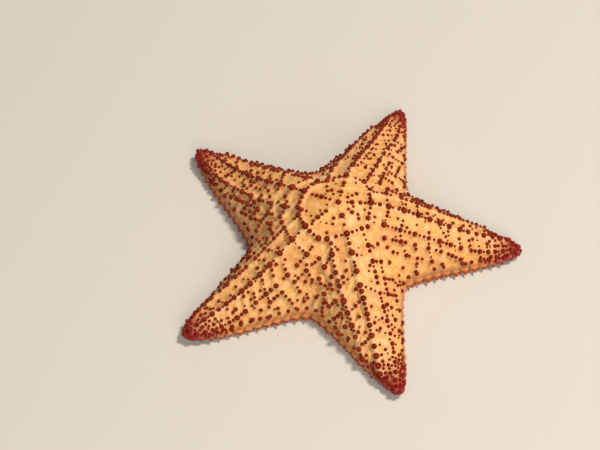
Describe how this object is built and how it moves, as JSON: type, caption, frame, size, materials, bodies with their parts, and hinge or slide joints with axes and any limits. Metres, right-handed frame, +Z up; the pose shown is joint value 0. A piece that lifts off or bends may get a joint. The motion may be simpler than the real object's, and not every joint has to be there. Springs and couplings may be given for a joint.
{
  "type": "cushion sea star",
  "caption": "Red cushion sea star lying on its mouth side: a domed disc and tapering arms with a net of knobbed ridges, spined edges and red tips; a life-size display model.",
  "frame": {"origin": "on the floor, under the middle of the whole outline, spines included", "axes": "+Z up from the mouth side to the back; +X along arm_1, within 4 degrees; the arms are numbered anticlockwise from it, seen from above"},
  "size_m": [0.2728, 0.272, 0.0686],
  "materials": {
    "skin": "wet satin over a net of limy plates",
    "tip_skin": "wet satin",
    "spines": "satin",
    "tube_feet": "moist, slightly translucent",
    "mouth_skin": "moist satin",
    "sieve_plate": "matte, finely grooved"
  },
  "bodies": {
    "root": {"disc": "skin", "arm_1": "skin", "arm_2": "skin", "arm_3": "skin", "arm_4": "skin", "arm_5": "skin", "arm_tip_1": "tip_skin", "arm_tip_2": "tip_skin", "arm_tip_3": "tip_skin", "arm_tip_4": "tip_skin", "arm_tip_5": "tip_skin", "tube_feet_1": "tube_feet", "tube_feet_2": "tube_feet", "tube_feet_3": "tube_feet", "tube_feet_4": "tube_feet", "tube_feet_5": "tube_feet", "mouth": "mouth_skin", "sieve_plate": "sieve_plate"}
  },
  "joints": []
}
